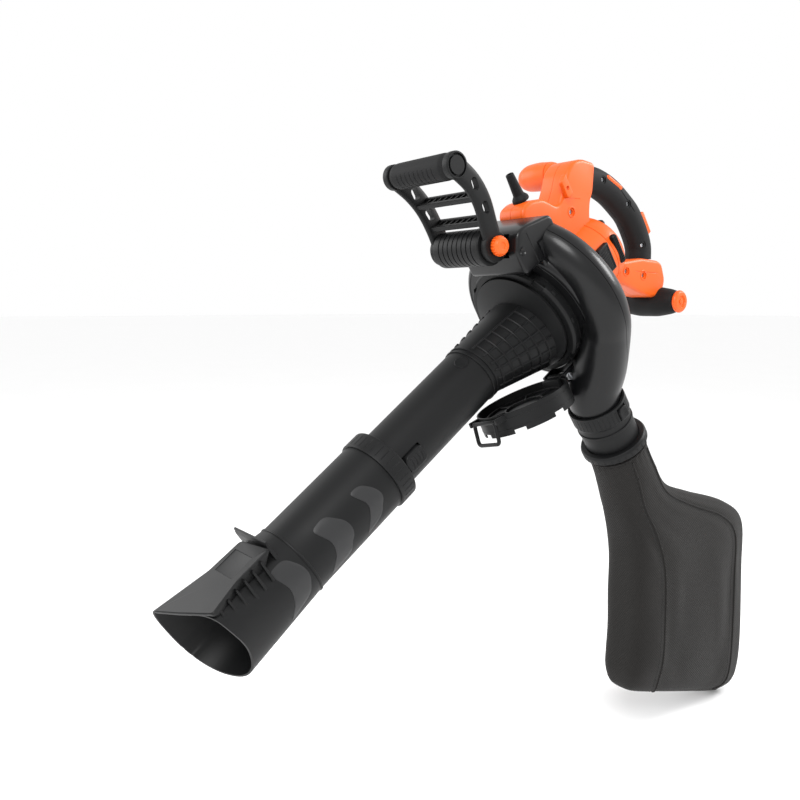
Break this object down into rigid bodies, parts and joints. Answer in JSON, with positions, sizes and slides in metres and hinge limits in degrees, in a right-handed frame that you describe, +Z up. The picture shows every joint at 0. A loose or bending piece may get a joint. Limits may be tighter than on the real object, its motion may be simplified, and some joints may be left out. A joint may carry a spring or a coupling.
{
  "type": "leaf blower",
  "caption": "Handheld electric leaf blower and vacuum in vacuum set-up: scroll fan casing, motor barrel, loop handle, tilting second handle, suction tube, open intake door and collecting bag.",
  "frame": {"origin": "middle of the bounding box, level with the lowest point of the hanging bag", "axes": "+Z up with the machine leaning as it is carried, the suction tube pointing forward and down to -Y, the outlet on the +X side; +Y is the longest extent and +X the shortest"},
  "size_m": [0.266, 1.058, 0.9431],
  "materials": {
    "orange_shell": "satin moulded shell",
    "black_shell": "fine moulded texture",
    "dark_casing": "polished dark grey",
    "soft_grip": "matt soft grip",
    "bag_cloth": "plain woven polyester",
    "steel": "brushed",
    "copper": "machined copper"
  },
  "bodies": {
    "machine": {"volute_front": "dark_casing", "volute_back": "dark_casing", "intake_ring": "black_shell", "stator": "steel", "brush_right": "copper", "brush_left": "copper", "bearing_front": "steel", "bearing_rear": "steel", "motor_bracket": "black_shell", "motor_collar": "black_shell", "case_screw_1": "steel", "case_screw_2": "steel", "case_screw_3": "steel", "case_screw_4": "steel", "case_screw_5": "steel", "case_screw_6": "steel", "housing_right": "orange_shell", "housing_left": "orange_shell", "loop_grip_right": "soft_grip", "loop_grip_left": "soft_grip", "grip_inlay_right": "orange_shell", "grip_inlay_left": "orange_shell", "badge_right": "black_shell", "vent_right": "black_shell", "badge_left": "black_shell", "vent_left": "black_shell", "vent_end_upper": "black_shell", "vent_end_lower": "black_shell", "rear_bulb_grip": "orange_shell", "front_bulb_grip": "soft_grip", "bulb_cap_right": "orange_shell", "bulb_cap_left": "orange_shell", "strain_relief": "soft_grip", "cord_hook": "orange_shell", "rocker_frame": "orange_shell", "switch_module": "black_shell", "pivot_housing": "black_shell", "pivot_barrel": "black_shell", "pivot_bolt": "steel", "upper_tube": "black_shell", "door_hinge_pin": "steel", "bag_adapter": "black_shell"},
    "rotor": {"armature": "steel", "commutator": "copper", "cooling_fan": "black_shell", "impeller": "black_shell", "impeller_nut": "steel"},
    "trigger_body": {"trigger": "black_shell"},
    "rocker_body": {"switch_rocker": "black_shell"},
    "handle_body": {"second_handle": "black_shell", "second_handle_grip": "soft_grip"},
    "knob_body": {"pivot_knob": "orange_shell"},
    "door_body": {"intake_door": "black_shell"},
    "door_latch_body": {"door_latch": "black_shell"},
    "catch_body": {"tube_catch": "black_shell"},
    "nozzle_body": {"lower_tube": "black_shell"},
    "adapter_latch_body": {"adapter_latch": "black_shell"},
    "bag_body": {"bag_ring": "black_shell", "bag": "bag_cloth"}
  },
  "joints": [
    {"name": "rotor_spin", "type": "hinge", "parent": "machine", "child": "rotor", "pos_m": [-0.01565, 0.10647, 0.75002], "axis": [0, 0.8121, 0.5835], "continuous": true},
    {"name": "trigger_pull", "type": "hinge", "parent": "machine", "child": "trigger_body", "pos_m": [-0.01565, 0.13887, 0.88659], "axis": [-1, 0, 0], "range_deg": [0, 8], "stiffness_Nm_per_rad": 1, "springref_deg": -11.46},
    {"name": "rocker_tilt", "type": "hinge", "parent": "machine", "child": "rocker_body", "pos_m": [-0.01565, 0.30601, 0.85277], "axis": [1, 0, 0], "range_deg": [0, 8]},
    {"name": "second_handle_tilt", "type": "hinge", "parent": "machine", "child": "handle_body", "pos_m": [-0.01565, -0.08384, 0.79552], "axis": [1, 0, 0], "range_deg": [-20, 30]},
    {"name": "pivot_knob_turn", "type": "hinge", "parent": "handle_body", "child": "knob_body", "pos_m": [0.04635, -0.08384, 0.79552], "axis": [1, 0, 0], "continuous": true},
    {"name": "intake_door_swing", "type": "hinge", "parent": "machine", "child": "door_body", "pos_m": [0.00951, 0.0809, 0.60739], "axis": [0.9703, -0.1412, 0.1965], "range_deg": [-6, 4]},
    {"name": "door_latch_swing", "type": "hinge", "parent": "door_body", "child": "door_latch_body", "pos_m": [0.00024, -0.06319, 0.54963], "axis": [0.9703, -0.1412, 0.1965], "range_deg": [0, 25]},
    {"name": "tube_catch_press", "type": "slide", "parent": "machine", "child": "catch_body", "axis": [-1, 0, 0], "range_m": [0, 0.003], "stiffness_N_per_m": 400, "springref_m": -0.002},
    {"name": "lower_tube_slide", "type": "slide", "parent": "machine", "child": "nozzle_body", "axis": [0, -0.8121, -0.5835], "range_m": [0, 0.08]},
    {"name": "adapter_latch_press", "type": "hinge", "parent": "machine", "child": "adapter_latch_body", "pos_m": [0.09235, 0.12734, 0.56676], "axis": [0, 0.8121, 0.5835], "range_deg": [0, 3], "stiffness_Nm_per_rad": 0.5, "springref_deg": -5.73},
    {"name": "bag_slide_off", "type": "slide", "parent": "machine", "child": "bag_body", "axis": [0, 0.5835, -0.8121], "range_m": [0, 0.02]}
  ]
}
